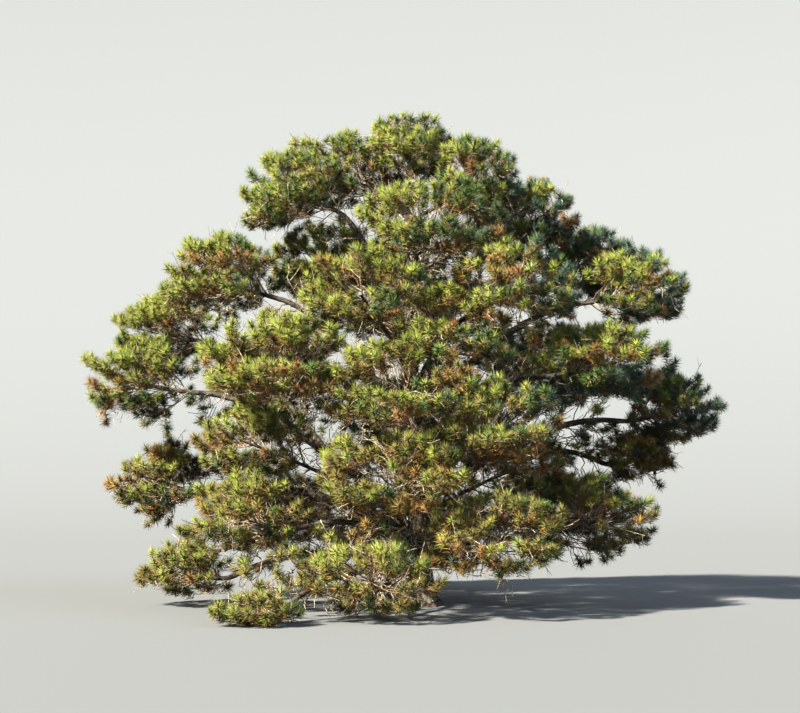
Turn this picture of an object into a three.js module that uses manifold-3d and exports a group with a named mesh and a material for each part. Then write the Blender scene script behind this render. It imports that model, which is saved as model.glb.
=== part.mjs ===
// An open-grown pitch pine as separate solids: one trunk, its boughs, and its masses of needles.
// Millimetres, +Z up. The origin is on the ground, at the middle of the trunk's flat foot.
// +X is to the right of the side that the tree is usually seen from, and +Y points away from it.
import * as THREE from "three";
import { mergeVertices } from "three/addons/utils/BufferGeometryUtils.js";
import Module from "manifold-3d";

const wasm = await Module();
wasm.setup();
const { Manifold, Mesh } = wasm;

// Trunk
const TRUNK_HEIGHT = 5450;
const TRUNK_FOOT_RADIUS = 205;
const TRUNK_TIP_RADIUS = 30;
const TRUNK_TAPER = 1.1;
const TRUNK_LEAN = -130;
const TRUNK_BOW = 70;
const TRUNK_SIDES = 12;
const TRUNK_RINGS = 15;
const TRUNK_RING_SPACING = 1.7; // above 1, the rings are closer at the foot
const FLARE_RADIUS = 105;
const FLARE_HEIGHT = 170;
const FLARE_LOBES = 5;
const FLARE_LOBE_DEPTH = 0.2;

// Boughs
const BOUGH_THICKNESS = 0.024; // radius at the foot for each millimetre of length
const BOUGH_LEAST_RADIUS = 48;
const BOUGH_TIP_RADIUS = 32;
const BOUGH_TAPER = 0.85;
const BOUGH_OF_CARRIER = 0.8; // most that a foot's radius may be of its carrier's there
const BOUGH_SIDES = 6;
const BOUGH_RINGS = 5;
const BOUGH_ARCH = 0.16; // rise above the straight line, as a share of the length
const BOUGH_WANDER = 0.09; // sideways bend, as a share of the length
const BOUGH_END_OUT = -0.62; // where it enters its mass, in half sizes from the middle
const BOUGH_END_UP = -0.3;

// Stems of the masses
const STEM_RADIUS = 36;
const STEM_TIP = 0.66; // radius at the tip, as a share of the foot's
const STEM_SIDES = 3;
const STEM_RINGS = 3;
const STEM_REACH = 0.2; // how far past a mass's middle a stem runs, as a share of the half size
const STEM_RISE = 0.5; // slope of a stem that leaves the trunk
const STEM_DROP = 120;
const STEM_LOWEST = 340; // least height at which a stem leaves the trunk
const STEM_BEND = 0.3;

// Twigs
const TWIGS_IN_MASS = 11;
const TWIG_RADIUS = 11;
const TWIG_TIP = 0.8;
const TWIG_CORNERS = [-150, -30, 90].map(THREE.MathUtils.degToRad);
const TWIG_FIRST = 0.06; // place of the outermost twig, as a share of the stem inside the mass
const TWIG_RANGE = 0.84;
const TWIG_SPREAD = 0.62; // how far a twig keeps to its stem's direction
const TWIG_FLATTEN = 0.7;
const TWIG_LIFT = 0.14;
const TWIG_SHORTENED = 0.72; // length of the second try, where the first has no room
const BRANCH_EVERY = 3;
const BRANCH_RADIUS = 4.5;
const BRANCH_PLACE = 0.6;
const BRANCH_TURN = 0.75; // least turn off the twig, in radians
const BRANCH_TURN_RANGE = 0.3;
const BRANCH_LIFT = 0.2;
const REACH_USED = 0.985; // share of the way to the edge of the space that a sprig takes

// Sprays of needles
const SPRAY_LENGTH = 720;
const SPRAY_SHARE = 0.78; // most of a sprig's length that its spray takes
const SPRAY_LEAST = 170;
const SPRAY_THICKNESS = 0.07; // share of its length
const SPRAY_TEETH = 3;
const SPRAY_FAN = THREE.MathUtils.degToRad(150);
const SPRAY_HUB = 0.3; // place of the hub, as a share of the spray's length
const SPRAY_NOTCH = 0.8;
const SPRAY_SIDE_TOOTH = 0.84; // length of the outer teeth, as a share of the middle one's
const SPRAY_TILT = 0.5; // least turn of a blade out of the level, in radians, and most again

const GAP = 0.3; // between a limb's foot and its carrier
const LIMB_CLEARANCE = 6; // least room between a sprig and a limb
const STEM_CLEARANCE = 12;
const SPACE_MARGIN = 0.05; // how much deeper a point lies in its own space than in any other
const UPRIGHT = 0.05; // a direction is upright where the square of its lean is less
const WELD = 1e-3; // points closer than this are one corner
const GOLDEN_ANGLE = THREE.MathUtils.degToRad(137.508);
const UP = new THREE.Vector3(0, 0, 1);

// The crown as a survey from the trunk. Each mass of needles has its bearing in degrees (0 is +X,
// 90 is +Y), the reach and height of its middle, and its half sizes outward, across and upward.
// A mass on a bough has the limb that this leaves, with the height or the share of that limb.
const CROWN = [
  ["far_left", 184, 3600, 2970, 1090, 840, 520, "trunk", 1150],
  ["left_tip_upper", 170, 3460, 3700, 980, 840, 580, "far_left", 0.42],
  ["left_shoulder", 184, 2540, 4300, 1120, 1000, 760, "trunk", 2350],
  ["upper_left", 190, 1580, 5420, 940, 920, 780, "trunk", 3300],
  ["right_top", 18, 2480, 4680, 800, 840, 520],
  ["right_tip_upper", 354, 2800, 4180, 960, 900, 580, "trunk", 2500],
  ["right_front", 341, 2460, 3160, 1140, 1040, 520, "trunk", 1900],
  ["far_right", 7, 3360, 2620, 1000, 860, 520, "trunk", 1300],
  ["right_under", 14, 3040, 2000, 680, 740, 340, "far_right", 0.35],
  ["low_right", 346, 2300, 1180, 990, 960, 560, "trunk", 820],
  ["low_front_right", 293, 2300, 980, 1000, 1000, 600, "trunk", 640],
  ["low_front", 257, 2400, 500, 980, 1060, 420, "trunk", 360],
  ["ground_front_left", 237, 3360, 190, 680, 520, 170, "low_front", 0.45],
  ["ground_left", 181, 2980, 500, 860, 740, 360, "trunk", 480],
  ["left_low", 172, 3400, 1660, 940, 840, 580, "trunk", 860],
  ["front_left_low", 209, 2380, 1230, 1080, 1000, 600, "trunk", 700],
  ["front_left", 226, 2460, 3060, 1100, 1060, 680, "trunk", 1600],
  ["back_low_left", 132, 2780, 1180, 1060, 1000, 620, "trunk", 690],
  ["back_low_right", 48, 2730, 1230, 1060, 1000, 620, "trunk", 900],
  ["back_mid", 89, 2580, 2520, 1160, 1280, 800, "trunk", 1350],
  ["back_left_mid", 144, 2420, 3140, 1120, 1040, 700, "trunk", 2050],
  ["back_right_mid", 42, 2380, 3280, 1120, 1040, 700, "trunk", 2150],
  ["front_mid", 263, 2220, 1700, 1040, 1100, 580],
  ["front_upper", 264, 2000, 2740, 1040, 1140, 700],
  ["front_right_mid", 294, 2120, 2340, 1000, 860, 600],
  ["front_high_left", 247, 1650, 3920, 940, 920, 700],
  ["front_heart", 284, 1400, 3560, 960, 1060, 640],
  ["front_high_right", 312, 1750, 4120, 940, 980, 640],
  ["front_top", 278, 1150, 4880, 880, 1000, 680],
  ["left_inner", 200, 2200, 2160, 1000, 960, 520],
  ["right_inner", 338, 1320, 1850, 860, 940, 560],
  ["back_low", 92, 2450, 900, 1100, 1140, 660],
  ["top_left", 156, 980, 5880, 860, 860, 680],
  ["left_heart", 148, 1460, 4720, 900, 940, 640],
  ["crown_top", 180, 100, 6020, 700, 700, 660],
  ["top_right", 344, 820, 5600, 760, 820, 700],
  ["right_shoulder", 8, 1500, 5180, 740, 800, 660],
  ["back_upper", 92, 1520, 4280, 1100, 1340, 960],
].map(([name, bearing, reach, height, outward, across, upward, carrier, at], i) => {
  const angle = THREE.MathUtils.degToRad(bearing);
  const out = new THREE.Vector3(Math.cos(angle), Math.sin(angle), 0);
  return {
    name,
    seed: i + 1,
    reach,
    height,
    outward: out,
    across: new THREE.Vector3().crossVectors(UP, out),
    middle: out.clone().multiplyScalar(reach).setZ(height),
    half: new THREE.Vector3(outward, across, upward),
    onTop: reach < outward / 2, // the trunk's tip runs into this mass
    carrier,
    at,
  };
});

const BARK = new THREE.MeshStandardMaterial({ color: 0x5b4a3f, roughness: 0.95, metalness: 0 });
const NEEDLES = new THREE.MeshStandardMaterial({ color: 0x6b7d2c, roughness: 0.7, metalness: 0 });

// A number from 0 to 1 that depends only on its seeds.
function seeded(a, b, c = 0) {
  const wave = Math.sin(a * 12.9898 + b * 78.233 + c * 37.719) * 43758.5453;
  return wave - Math.floor(wave);
}

// A closed geometry as a solid.
function solidOf(geometry) {
  const bare = geometry.index ? geometry.toNonIndexed() : geometry.clone();
  bare.deleteAttribute("normal");
  bare.deleteAttribute("uv");
  const merged = mergeVertices(bare, WELD);
  return new Manifold(
    new Mesh({
      numProp: 3,
      vertProperties: merged.attributes.position.array,
      triVerts: new Uint32Array(merged.index.array),
    }),
  );
}

// A solid as a geometry.
function geometryOf(solid) {
  const mesh = solid.getMesh();
  const geometry = new THREE.BufferGeometry();
  geometry.setAttribute("position", new THREE.BufferAttribute(mesh.vertProperties, 3));
  geometry.setIndex(new THREE.BufferAttribute(mesh.triVerts, 1));
  return geometry;
}

// The largest body of a solid: a scrap that a cut left loose is dropped.
function largestBody(solid) {
  return solid.decompose().reduce((best, body) => (body.volume() > best.volume() ? body : best));
}

// A tube of changing radius along a curve, closed by a flat face at each end.
function limbSolid(curve, radiusAt, sides, rings) {
  const geometry = new THREE.CylinderGeometry(1, 1, 1, sides, rings);
  const position = geometry.attributes.position;
  const frames = curve.computeFrenetFrames(rings, false);
  for (let i = 0; i < position.count; i++) {
    const ring = Math.round((position.getY(i) + 0.5) * rings);
    const share = ring / rings;
    const point = curve.getPointAt(share);
    const radius = radiusAt(share);
    point.addScaledVector(frames.normals[ring], position.getX(i) * radius);
    point.addScaledVector(frames.binormals[ring], -position.getZ(i) * radius);
    position.setXYZ(i, point.x, point.y, point.z);
  }
  return solidOf(geometry);
}

// The middle of the trunk at a height above the ground.
function trunkAxis(height) {
  const share = height / TRUNK_HEIGHT;
  return new THREE.Vector3(
    TRUNK_LEAN * share + TRUNK_BOW * Math.sin(2 * Math.PI * share) * share,
    TRUNK_BOW * Math.sin(Math.PI * share) * share,
    height,
  );
}

function trunkRadius(height) {
  const left = Math.max(0, 1 - height / TRUNK_HEIGHT);
  return TRUNK_TIP_RADIUS + (TRUNK_FOOT_RADIUS - TRUNK_TIP_RADIUS) * left ** TRUNK_TAPER;
}

// The radius with the root flare, whose lobes run into the roots.
function flaredRadius(height, angle) {
  const flare = Math.exp(-height / FLARE_HEIGHT);
  const lobe = 1 + FLARE_LOBE_DEPTH * flare * Math.cos(FLARE_LOBES * angle);
  return (trunkRadius(height) + FLARE_RADIUS * flare) * lobe;
}

// The trunk, cut level at every ring, so that its foot is flat on the ground.
function trunkSolid(grown = 0) {
  const geometry = new THREE.CylinderGeometry(1, 1, 1, TRUNK_SIDES, TRUNK_RINGS);
  const position = geometry.attributes.position;
  for (let i = 0; i < position.count; i++) {
    const ring = Math.round((position.getY(i) + 0.5) * TRUNK_RINGS);
    const height = TRUNK_HEIGHT * (ring / TRUNK_RINGS) ** TRUNK_RING_SPACING;
    const angle = Math.atan2(-position.getZ(i), position.getX(i));
    const onAxis = Math.hypot(position.getX(i), position.getZ(i)) < 0.5;
    const radius = onAxis ? 0 : flaredRadius(height, angle) + grown;
    const { x, y, z } = trunkAxis(height);
    const past = ring === 0 ? -grown : ring === TRUNK_RINGS ? grown : 0;
    position.setXYZ(i, x + radius * Math.cos(angle), y + radius * Math.sin(angle), z + past);
  }
  return solidOf(geometry);
}

// A vector in half sizes of a mass: length 1 is the egg-shaped surface of its space.
function inHalfSizes(mass, vector) {
  return new THREE.Vector3(
    vector.dot(mass.outward) / mass.half.x,
    vector.dot(mass.across) / mass.half.y,
    vector.z / mass.half.z,
  );
}

// 0 at a mass's middle and 1 on the surface of its space.
function level(mass, point) {
  return inHalfSizes(mass, point.clone().sub(mass.middle)).length();
}

// Where spaces meet, a point belongs to the mass that it lies deepest in.
function inSpace(mass, point) {
  const own = level(mass, point);
  return (
    own <= 1 && CROWN.every((other) => other === mass || level(other, point) > own + SPACE_MARGIN)
  );
}

// How far it is from a point inside a mass's space to the surface, in a direction.
function reachInSpace(mass, point, direction) {
  const from = inHalfSizes(mass, point.clone().sub(mass.middle));
  const step = inHalfSizes(mass, direction);
  const a = step.lengthSq();
  const b = from.dot(step);
  const c = from.lengthSq() - 1;
  return c > 0 ? 0 : (-b + Math.sqrt(b * b - a * c)) / a;
}

// The curve of a bough from its carrier's axis to the point where it enters its mass.
function boughCurve(mass, start) {
  const end = mass.middle.clone();
  end.addScaledVector(mass.outward, BOUGH_END_OUT * mass.half.x);
  end.addScaledVector(UP, BOUGH_END_UP * mass.half.z);
  const length = start.distanceTo(end);
  const side = (seeded(mass.seed, 1) - 0.5) * 2 * BOUGH_WANDER * length;
  const near = start.clone().lerp(end, 1 / 3).addScaledVector(mass.across, side);
  near.addScaledVector(UP, BOUGH_ARCH * length * seeded(mass.seed, 2));
  const far = start.clone().lerp(end, 2 / 3).addScaledVector(mass.across, -side);
  far.addScaledVector(UP, BOUGH_ARCH * length);
  return new THREE.CubicBezierCurve3(start, near, far, end);
}

function makeBough(mass, limbs) {
  const onTrunk = mass.carrier === "trunk";
  const carrier = limbs.get(mass.carrier);
  const start = onTrunk ? trunkAxis(mass.at) : carrier.curve.getPointAt(mass.at);
  const curve = boughCurve(mass, start);
  const room = onTrunk ? trunkRadius(mass.at) : carrier.radiusAt(mass.at);
  const wanted = Math.max(BOUGH_THICKNESS * curve.getLength(), BOUGH_LEAST_RADIUS);
  const foot = Math.min(wanted, BOUGH_OF_CARRIER * room);
  const radiusAt = (share) => foot + (BOUGH_TIP_RADIUS - foot) * share ** BOUGH_TAPER;
  const made = (grown) =>
    limbSolid(curve, (share) => radiusAt(share) + grown, BOUGH_SIDES, BOUGH_RINGS);
  const solid = largestBody(made(0).subtract(carrier.grown));
  return { curve, radiusAt, solid, grown: made(GAP), clear: made(LIMB_CLEARANCE) };
}

// The curve of a mass's stem. It leaves its bough's tip squarely, or the trunk's tip or side.
function stemCurve(mass, limbs) {
  const start = new THREE.Vector3();
  const leaves = UP.clone();
  const end = mass.middle.clone();
  end.addScaledVector(mass.onTop ? UP : mass.outward, STEM_REACH * mass.half.x);
  if (mass.carrier) {
    const bough = limbs.get(mass.name);
    bough.curve.getPointAt(1, start);
    bough.curve.getTangentAt(1, leaves);
  } else if (mass.onTop) {
    start.copy(trunkAxis(TRUNK_HEIGHT));
  } else {
    const height = mass.height - STEM_RISE * mass.reach - STEM_DROP;
    start.copy(trunkAxis(Math.max(STEM_LOWEST, height)));
    leaves.add(mass.outward).normalize();
  }
  start.addScaledVector(leaves, GAP);
  const bend = start.clone().addScaledVector(leaves, STEM_BEND * start.distanceTo(end));
  return new THREE.QuadraticBezierCurve3(start, bend, end);
}

function makeStem(mass, limbs) {
  const curve = stemCurve(mass, limbs);
  const radiusAt = (share) => STEM_RADIUS * (1 - (1 - STEM_TIP) * share);
  const made = (grown) =>
    limbSolid(curve, (share) => radiusAt(share) + grown, STEM_SIDES, STEM_RINGS);
  const fromSide = !mass.carrier && !mass.onTop;
  const solid = fromSide ? largestBody(made(0).subtract(limbs.get("trunk").grown)) : made(0);
  return { curve, solid, clear: made(STEM_CLEARANCE) };
}

// A place beside a sprig's line: how far along it, across its blade and out of its blade.
function sprigPlacer(foot, way, roll) {
  const side = new THREE.Vector3().crossVectors(way, UP);
  if (side.lengthSq() < UPRIGHT) side.set(1, 0, 0).addScaledVector(way, -way.x);
  side.normalize().applyAxisAngle(way, roll);
  const face = new THREE.Vector3().crossVectors(way, side);
  return (along, across, out) =>
    foot.clone().addScaledVector(way, along).addScaledVector(side, across).addScaledVector(face, out);
}

// The points of a spray's teeth and notches, from its left to its right.
function sprayTeeth(at, hub, length) {
  const points = [];
  const steps = 2 * (SPRAY_TEETH - 1);
  for (let i = 0; i <= steps; i++) {
    const angle = SPRAY_FAN * (i / steps - 0.5);
    const inner = 1 - Math.abs(2 * i - steps) / steps;
    const tooth = length * (1 - SPRAY_HUB) * (SPRAY_SIDE_TOOTH + (1 - SPRAY_SIDE_TOOTH) * inner);
    const out = i % 2 ? tooth * SPRAY_NOTCH : tooth;
    points.push(at(hub + out * Math.cos(angle), out * Math.sin(angle), 0));
  }
  return points;
}

// A sprig: a three-sided twig that opens into a thin toothed blade, which is its spray of needles.
function sprig(foot, way, twigLength, sprayLength, roll, radius) {
  const at = sprigPlacer(foot, way, roll);
  const ring = (along, around) =>
    TWIG_CORNERS.map((angle) => at(along, around * Math.cos(angle), around * Math.sin(angle)));
  const [footLeft, footRight, footTop] = ring(0, radius);
  const [left, right, top] = ring(twigLength, radius * TWIG_TIP);
  const hub = twigLength + SPRAY_HUB * sprayLength;
  const rim = [left, ...sprayTeeth(at, hub, sprayLength), right];
  const thick = (SPRAY_THICKNESS * sprayLength) / 2;
  const above = at(hub, 0, thick);
  const below = at(hub, 0, -thick);
  const faces = rim.slice(1).flatMap((to, i) => [rim[i], to, above, to, rim[i], below]);
  faces.push(right, top, above, top, left, above, left, right, below);
  faces.push(top, right, footRight, top, footRight, footTop);
  faces.push(left, top, footTop, left, footTop, footLeft);
  faces.push(right, left, footLeft, right, footLeft, footRight);
  faces.push(footTop, footRight, footLeft);
  return { solid: solidOf(new THREE.BufferGeometry().setFromPoints(faces)), points: rim };
}

// The direction in which a twig leaves its stem: they turn round it by the golden angle.
function twigWay(mass, along, k) {
  const way = new THREE.Vector3().crossVectors(along, UP);
  if (way.lengthSq() < UPRIGHT) way.copy(mass.across);
  way.normalize().applyAxisAngle(along, GOLDEN_ANGLE * k + 2 * Math.PI * seeded(mass.seed, 1));
  way.z *= TWIG_FLATTEN;
  return way.addScaledVector(along, TWIG_SPREAD).addScaledVector(UP, TWIG_LIFT).normalize();
}

// The direction in which a branch leaves its twig, to the left and the right by turns.
function branchWay(mass, way, k) {
  const turn = BRANCH_TURN + BRANCH_TURN_RANGE * seeded(mass.seed, k, 4);
  const branch = way.clone().applyAxisAngle(UP, k % 2 ? turn : -turn);
  return branch.addScaledVector(UP, BRANCH_LIFT).normalize();
}

// The stem, twigs and sprays of one mass, fused into one solid.
function makeMass(mass, limbs, stems) {
  const { curve, solid: stem } = stems.get(mass);
  const parts = [stem];
  const others = [...stems.values()].filter((other) => other.solid !== stem);
  const limbsAround = [...limbs.values(), ...others].map((limb) => limb.clear);
  const roll = (k, c) => (k % 2 ? 1 : -1) * SPRAY_TILT * (1 + seeded(mass.seed, k, c));

  // Adds a sprig, unless it leaves the space or meets a limb or another sprig than its parent.
  const grow = (parent, foot, way, turn, radius = TWIG_RADIUS, share = 1) => {
    const room = reachInSpace(mass, foot, way) * share * REACH_USED;
    const sprayLength = Math.min(SPRAY_LENGTH, SPRAY_SHARE * room);
    if (sprayLength < SPRAY_LEAST) return null;
    const twigLength = room - sprayLength;
    const { solid, points } = sprig(foot, way, twigLength, sprayLength, turn, radius);
    const meets = (other) => other !== parent && !solid.intersect(other).isEmpty();
    if (!points.every((point) => inSpace(mass, point))) return null;
    if (limbsAround.some(meets) || parts.some(meets)) return null;
    parts.push(solid);
    return { solid, twigLength };
  };

  grow(stem, curve.getPointAt(1 - TWIG_FIRST / 2), curve.getTangentAt(1), mass.seed);
  const inside = Math.min(1, ((1 + STEM_REACH) * mass.half.x) / curve.getLength());
  for (let k = 0; k < TWIGS_IN_MASS; k++) {
    const share = 1 - inside * (TWIG_FIRST + (TWIG_RANGE * k) / TWIGS_IN_MASS);
    const foot = curve.getPointAt(share);
    const way = twigWay(mass, curve.getTangentAt(share), k);
    const twig =
      grow(stem, foot, way, roll(k, 3)) ??
      grow(stem, foot, way, roll(k, 6), TWIG_RADIUS, TWIG_SHORTENED);
    if (!twig || k % BRANCH_EVERY) continue;
    const fork = foot.clone().addScaledVector(way, BRANCH_PLACE * twig.twigLength);
    grow(twig.solid, fork, branchWay(mass, way, k), roll(k, 5), BRANCH_RADIUS);
  }
  return largestBody(Manifold.union(parts));
}

function named(name, solid, material) {
  const mesh = new THREE.Mesh(geometryOf(solid), material);
  mesh.name = name;
  return mesh;
}

const pine = new THREE.Group();
const trunk = { solid: trunkSolid(), grown: trunkSolid(GAP), clear: trunkSolid(LIMB_CLEARANCE) };
const limbs = new Map([["trunk", trunk]]);
pine.add(named("trunk", trunk.solid, BARK));
for (const mass of CROWN.filter((each) => each.carrier)) {
  const bough = makeBough(mass, limbs);
  limbs.set(mass.name, bough);
  pine.add(named(`bough_${mass.name}`, bough.solid, BARK));
}
const stems = new Map(CROWN.map((mass) => [mass, makeStem(mass, limbs)]));
for (const mass of CROWN) {
  pine.add(named(`needles_${mass.name}`, makeMass(mass, limbs, stems), NEEDLES));
}

export default pine;
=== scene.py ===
# An open-grown pitch pine: bark with relief, twigs, bare twigs, cones and sprays of needles.
# Metres, +Z up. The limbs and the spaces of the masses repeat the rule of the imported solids,
# and the twigs are carried on from it to the shoots that hold the needles.
import math

import bpy
import numpy as np
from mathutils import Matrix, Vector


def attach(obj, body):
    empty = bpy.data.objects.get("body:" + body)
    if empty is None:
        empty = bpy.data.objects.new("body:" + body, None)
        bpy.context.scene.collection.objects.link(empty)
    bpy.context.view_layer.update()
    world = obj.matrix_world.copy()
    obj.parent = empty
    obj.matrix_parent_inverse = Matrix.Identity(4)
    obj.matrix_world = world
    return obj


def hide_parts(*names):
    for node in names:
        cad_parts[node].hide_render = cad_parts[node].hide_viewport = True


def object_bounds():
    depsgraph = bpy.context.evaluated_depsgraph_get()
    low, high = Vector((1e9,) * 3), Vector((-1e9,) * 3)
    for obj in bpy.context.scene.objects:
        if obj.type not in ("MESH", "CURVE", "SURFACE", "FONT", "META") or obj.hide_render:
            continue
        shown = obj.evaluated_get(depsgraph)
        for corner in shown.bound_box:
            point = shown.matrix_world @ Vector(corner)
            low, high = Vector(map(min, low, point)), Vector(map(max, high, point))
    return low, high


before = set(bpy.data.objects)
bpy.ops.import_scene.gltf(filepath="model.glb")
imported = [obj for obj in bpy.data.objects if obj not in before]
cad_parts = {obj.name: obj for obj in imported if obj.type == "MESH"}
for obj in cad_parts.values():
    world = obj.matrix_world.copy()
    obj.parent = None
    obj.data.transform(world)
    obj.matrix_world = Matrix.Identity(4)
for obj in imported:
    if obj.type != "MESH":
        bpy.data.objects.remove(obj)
cad_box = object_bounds()

# Trunk
TRUNK_HEIGHT = 5.45
TRUNK_FOOT_RADIUS = 0.205
TRUNK_TIP_RADIUS = 0.03
TRUNK_TAPER = 1.1
TRUNK_LEAN = -0.13
TRUNK_BOW = 0.07
FLARE_RADIUS = 0.105
FLARE_HEIGHT = 0.17
FLARE_LOBES = 5
FLARE_LOBE_DEPTH = 0.2

# Boughs
BOUGH_THICKNESS = 0.024  # radius at the foot for each metre of length
BOUGH_LEAST_RADIUS = 0.048
BOUGH_TIP_RADIUS = 0.032
BOUGH_TAPER = 0.85
BOUGH_OF_CARRIER = 0.8
BOUGH_ARCH = 0.16
BOUGH_WANDER = 0.09
BOUGH_END_OUT = -0.62
BOUGH_END_UP = -0.3

# Stems of the masses
STEM_RADIUS = 0.034
STEM_TIP = 0.45
STEM_REACH = 0.2
STEM_RISE = 0.5
STEM_DROP = 0.12
STEM_LOWEST = 0.34
STEM_BEND = 0.3

# Twigs of three orders: on the stem, on the twig and on the branch
TWIGS_IN_MASS = 18
TWIG_FIRST = 0.04
TWIG_RANGE = 0.9
TWIG_LONGEST = 1.2
TWIG_SHORTEST = 0.7  # as a share of the longest
TWIG_LENGTH_RANGE = 0.5
TWIG_SPREAD = 0.62
TWIG_FLATTEN = 0.7
TWIG_LIFT = 0.14
TWIG_SAG = 0.06
TWIG_STRAY = 0.3  # how far its bend may lie to its side, as a share of its length
TWIG_RADIUS = 0.011
BRANCHES_ON_TWIG = 5
BRANCHES_BEHIND = 8  # where fewer and wider masses fill the crown
BRANCH_FIRST = 0.3
BRANCH_FIRST_BEHIND = 0.2
BRANCH_LONGEST = 0.5
BRANCH_TURN = 0.75
BRANCH_TURN_RANGE = 0.3
BRANCH_LIFT = 0.2
BRANCH_LIFT_RANGE = 0.3
BRANCH_FLATTEN = 0.6  # the branches of a twig lie in one layer
BRANCH_SAG = 0.12
BRANCH_RADIUS = 0.006
SHOOTS_ON_BRANCH = 5
SHOOT_FIRST = 0.25
SHOOT_LONGEST = 0.2
SHOOT_LEAST = 0.05
SHOOT_SAG = 0.3
SHOOT_RADIUS = 0.0042
BARE_SHOOTS = 0.5  # share of the shoots without a tuft that are kept
SHORTEST = 0.55  # branch or shoot, as a share of the longest
LENGTH_RANGE = 0.6
PLACE_RANGE = 0.8  # how far the feet of twigs are off their even places
SEED_STEP = 17.31
FITTING_TRIES = 4
FITTING_STEP = 0.72  # a twig that doesn't fit is tried again, shorter by this
TIP_ROOM = 0.03  # room that a tuft keeps to the edge of its space
LOBE_DEPTH = 0.2  # how far the twigs' lobes differ, as a share of the space
SPACE_MARGIN = 0.01

# Crooked twigs round the limbs, and bare ones on these and on the live twigs
LIMB_TWIGS_PER_METRE = 13
LIMB_TWIG_FIRST = 0.1
LIMB_TWIG_RANGE = 0.85
LIMB_TWIG_LEAN = 0.7  # towards the limb's tip
LIMB_TWIG_SHORTEST = 0.25
LIMB_TWIG_LENGTH_RANGE = 0.5
LIMB_TWIG_CROOK = 0.2
LOWEST_TRUNK_TWIG = 0.9
BARE_SHORTEST = 0.4  # as a share of the longest
BARE_LENGTH_RANGE = 0.8
BARE_CROOK = 0.16
BRANCHES_WITH_BARE = 0.35  # share of the branches that bear one
BARE_WITH_BARE = 0.7  # and of the bare twigs
LOWEST_BARE = 0.05
BARE_FORMS = [  # of each order: radius at the foot and at the tip, rings and crook
    (0.009, 0.005, 5, 0.2),
    (0.006, 0.0035, 3, 0.25),
    (0.003, 0.0015, 2, 0.0),
]

# Tufts: layers of them near the outside of the masses, and a few on the limbs
CROWN_HEART = np.array([0.0, 0.0, 2.6])
CROWN_HALF = np.array([4.4, 3.5, 4.3])
BACK_OF_CROWN = 0.9  # masses and tufts over this far back are behind the trunk
TUFTS_FROM = 0.45  # how far out in its space a mass has tufts, as a share
TUFTS_FROM_RANGE = 0.25
UNDERSIDE = -0.4
SHED_UNDER = 0.4  # share of the tufts that the underside of a mass has lost
LOW_BOUGHS = 1.4  # masses whose middle is lower have fewer tufts
SHED_LOW = 0.45
LAYER = 0.6  # from one layer of tufts down to the next
LAYER_DOME = 0.5  # how far the layers follow the round top of their mass
LAYER_WAVE = 0.03
LAYER_GREEN = 0.36  # upper share of a layer that is green
LAYER_BARE = 0.6  # where the lower part that has shed its needles starts
SHED_IN_FRONT = 0.9  # share of the tufts that this part has lost
SHED_BEHIND = 0.3
INNER_CROWN = 0.5  # share of the crown's width inside which there are fewer tufts
INNER_TUFTS = 0.45
TUFTS_ON_LIMBS = 0.2  # share of the twigs on the limbs that hold a tuft
TUFTS_ON_OUTER_LIMBS = 0.8  # and low down, behind the trunk or far out from it
LOW_LIMBS = 1.5
REAR_LIMBS = 0.25
FAR_LIMBS = 1.6
TUFTS_IN_GAPS = 0.6  # share of the side twigs between the outer masses that hold a tuft
GAPS_FROM = 2.3
LOWEST_TUFT = 0.3
TUFT_APART = 0.105  # from one tuft to the next, sideways
TUFT_BELOW = 0.12  # and from one tuft down to the next

# Needles: bundles of three round the end of each shoot
NEEDLES_IN_PIECE = 180_000
NEEDLES_IN_BUNDLE = 3
YOUNG_BUNDLES = 31
OLD_BUNDLES = 8
TUFT_SIZE_RANGE = 0.35
TUFT_LIFT = 0.6  # how far the tufts turn up
NEEDLE_LENGTH = 0.104
NEEDLE_LENGTH_RANGE = 0.3
NEEDLE_WIDTH = 0.0102
NEEDLE_SPLAY = 0.26  # of the needles in a bundle
NEEDLE_STRAY = 0.12
YOUNG_STRETCH = 0.055  # stretch of shoot that holds the young needles
OLD_START = 0.085  # from the tip to the first of the old needles
OLD_STRETCH = 0.1
LEAN_AT_TIP = math.radians(8)
LEAN_AT_FOOT = math.radians(110)
LEAN_CURVE = 0.7
OLD_LEAN = math.radians(66)
DEAD_OF_OLD = 0.5  # share of the old bundles that are dead besides
DEAD_OF_OLD_RIGHT = 0.5  # as a share of that, on the right, cut down so that the shade there keeps its painted blue-green tints
SHADED_FROM = 1.5
RUST_OF_DEAD = 0.5
LOWEST_NEEDLE = 0.004

# Cones
CONES_ON_BRANCHES = 0.05  # share of the branches that bear one
CONE_PLACE = 0.4  # along its branch
CONE_LENGTH = 0.058
CONE_RADIUS = 0.021
CONE_SCALE = 0.28  # how far the scales stand out, as a share of the radius
CONE_STALK = 0.012

# Floor
FLOOR_HALF = 150.0
COVE_DISTANCE = 26.0
COVE_RADIUS = 70.0
COVE_HEIGHT = 90.0
COVE_ROWS = 60
FRONT_ROWS = 40
FLOOR_COLUMNS = 80
RIM_START = 60.0
RIM_HEIGHT = 26.0
# Painted shade: the floor turns a touch darker and cooler between these distances
PAINTED_COVE_SHADE_FROM = 5.0
PAINTED_COVE_SHADE_TO = 75.0

# Camera
CAMERA_PLACE = (-0.24, -20.0, 1.6)
CAMERA_TILT = 4.9  # degrees up
SENSOR_WIDTH = 36.0
LENS = 67.2
FARTHEST_SEEN = 500.0
GAMMA = 0.88
EXPOSURE = 0.1

GOLDEN_ANGLE = math.radians(137.508)
UP = np.array([0.0, 0.0, 1.0])

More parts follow.
